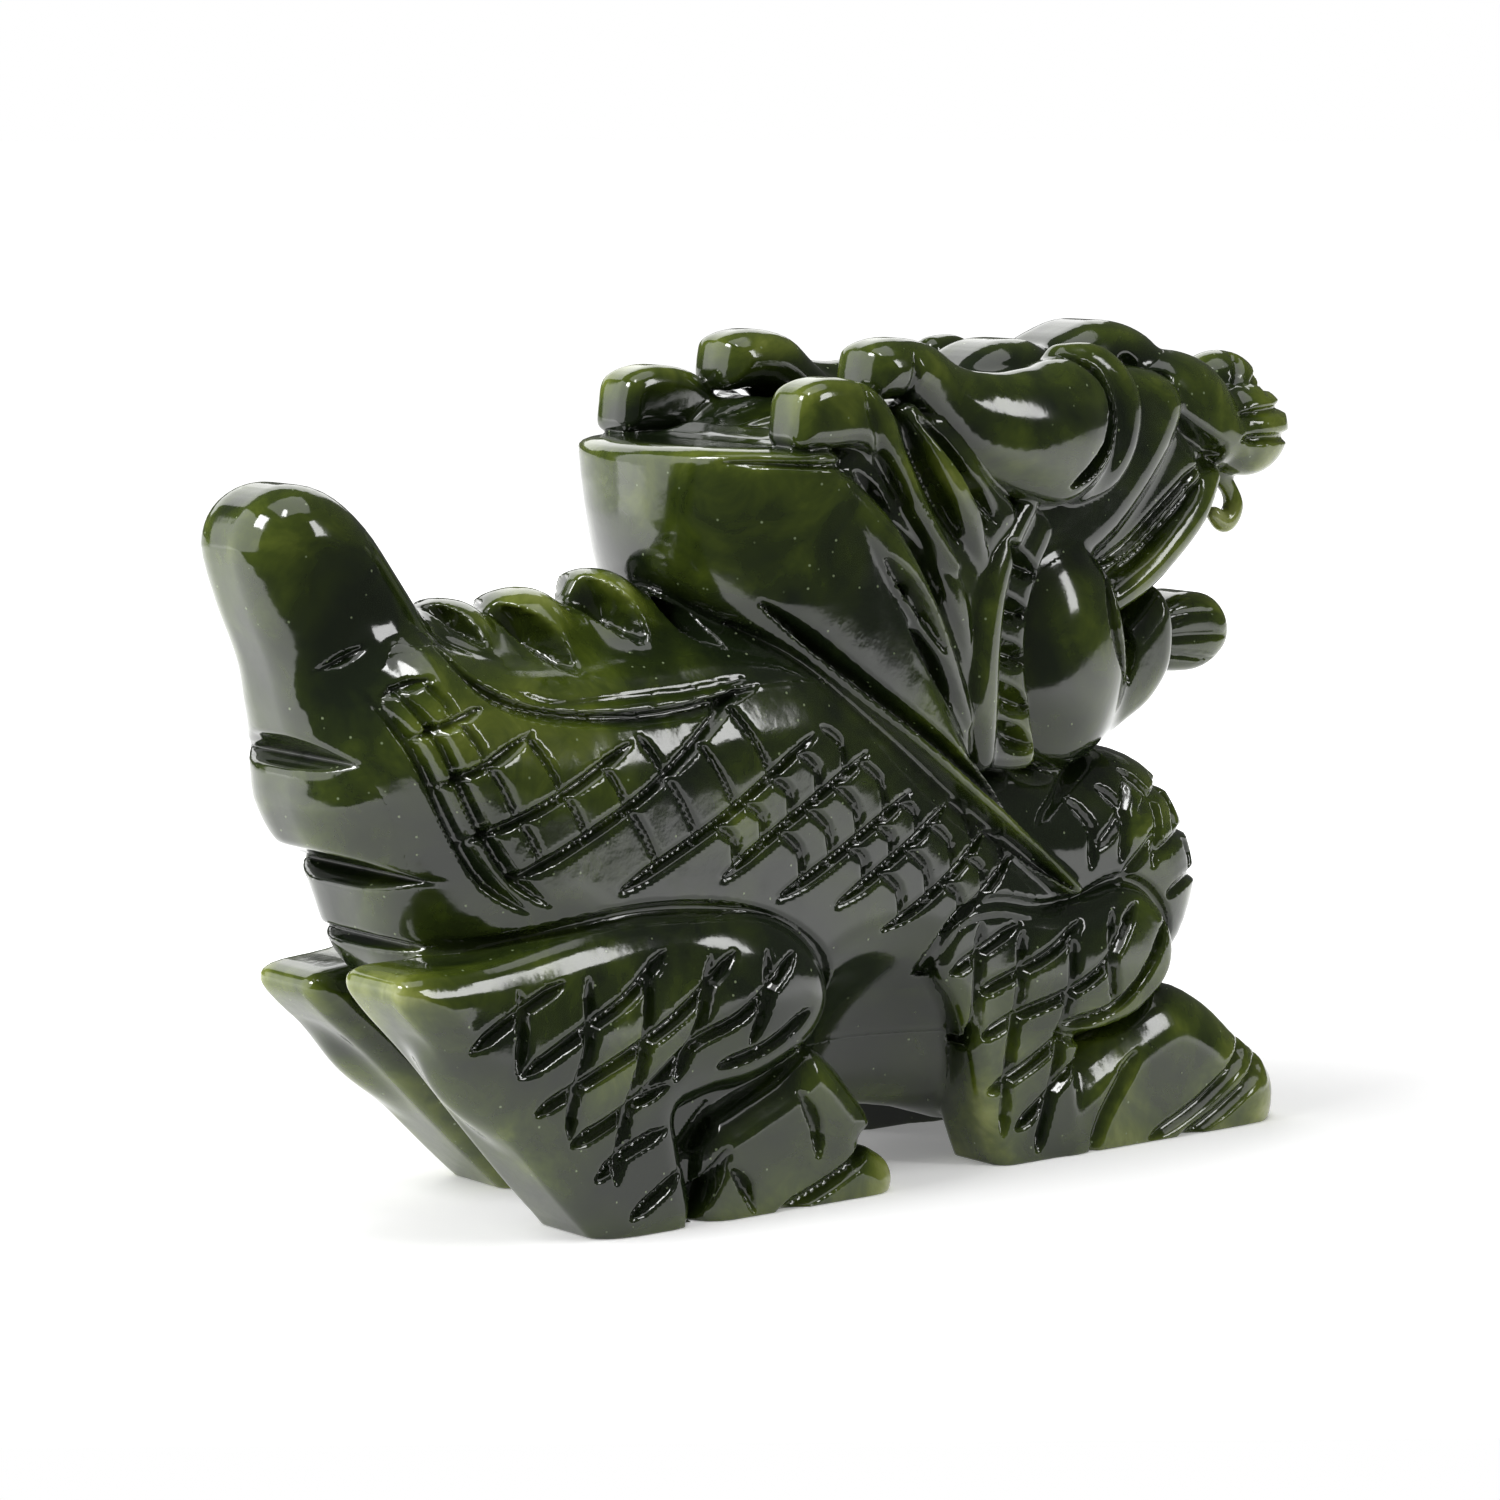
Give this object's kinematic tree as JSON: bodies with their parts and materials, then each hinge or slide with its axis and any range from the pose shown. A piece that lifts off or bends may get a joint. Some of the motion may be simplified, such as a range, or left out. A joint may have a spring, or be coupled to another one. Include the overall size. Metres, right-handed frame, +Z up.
{
  "type": "jade dragon figurine",
  "caption": "Polished dark green jade carving of a crouching dragon with an upright tail, raised head and wide open mouth.",
  "frame": {"origin": "on the table, under the middle of the figure's length and width", "axes": "+X towards the nose, +Y towards the dragon's left side, +Z up"},
  "size_m": [0.082, 0.024, 0.0535],
  "materials": {
    "polished_jade": "dark green nephrite or serpentine jade, polished to a high gloss, translucent at thin edges"
  },
  "bodies": {
    "root": {"belly": "polished_jade", "chest": "polished_jade", "dorsal_crest": "polished_jade", "forehead": "polished_jade", "left_brow": "polished_jade", "left_cheek_frill": "polished_jade", "left_foreleg": "polished_jade", "left_forepaw": "polished_jade", "left_haunch": "polished_jade", "left_hind_foot": "polished_jade", "left_horn": "polished_jade", "left_mane_locks": "polished_jade", "left_upper_fang": "polished_jade", "lower_jaw": "polished_jade", "neck_mane": "polished_jade", "nose": "polished_jade", "right_brow": "polished_jade", "right_cheek_frill": "polished_jade", "right_foreleg": "polished_jade", "right_forepaw": "polished_jade", "right_haunch": "polished_jade", "right_hind_foot": "polished_jade", "right_horn": "polished_jade", "right_mane_locks": "polished_jade", "right_upper_fang": "polished_jade", "skull": "polished_jade", "snout": "polished_jade", "tail": "polished_jade", "tongue": "polished_jade", "torso": "polished_jade"}
  },
  "joints": []
}
